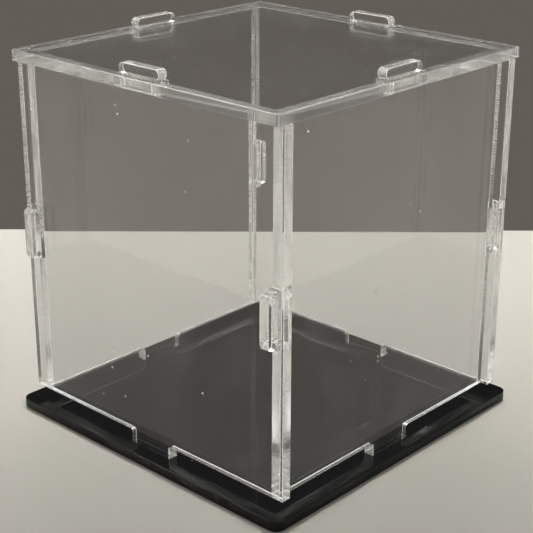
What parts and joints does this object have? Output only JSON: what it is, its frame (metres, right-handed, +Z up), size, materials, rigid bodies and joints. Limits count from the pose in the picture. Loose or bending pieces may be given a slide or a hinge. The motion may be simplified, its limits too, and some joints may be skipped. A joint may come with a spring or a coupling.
{
  "type": "acrylic display cube",
  "caption": "Clear tab-and-slot acrylic display cube: upright panels and a lift-off top panel form a cover that lifts off a flat gloss black base plate.",
  "frame": {"origin": "middle of the base plate's underside, on the surface the cube stands on", "axes": "+Z up; the front panel, one of the two that run past the side panels and are slotted at mid-height, faces -Y; the right panel faces +X"},
  "size_m": [0.105, 0.105, 0.1123],
  "materials": {
    "clear_acrylic": "clear cast acrylic, polished faces, laser-cut edges that show pale",
    "black_acrylic": "gloss black acrylic, mirror-smooth top, laser-cut edge"
  },
  "bodies": {
    "base": {"base_plate": "black_acrylic"},
    "walls": {"front_panel": "clear_acrylic", "back_panel": "clear_acrylic", "left_panel": "clear_acrylic", "right_panel": "clear_acrylic"},
    "lid": {"top_panel": "clear_acrylic"}
  },
  "joints": [
    {"name": "cover_lift", "type": "slide", "parent": "base", "child": "walls", "axis": [0, 0, 1], "range_m": [0, 0.12]},
    {"name": "lid_lift", "type": "slide", "parent": "walls", "child": "lid", "axis": [0, 0, 1], "range_m": [0, 0.04]}
  ]
}
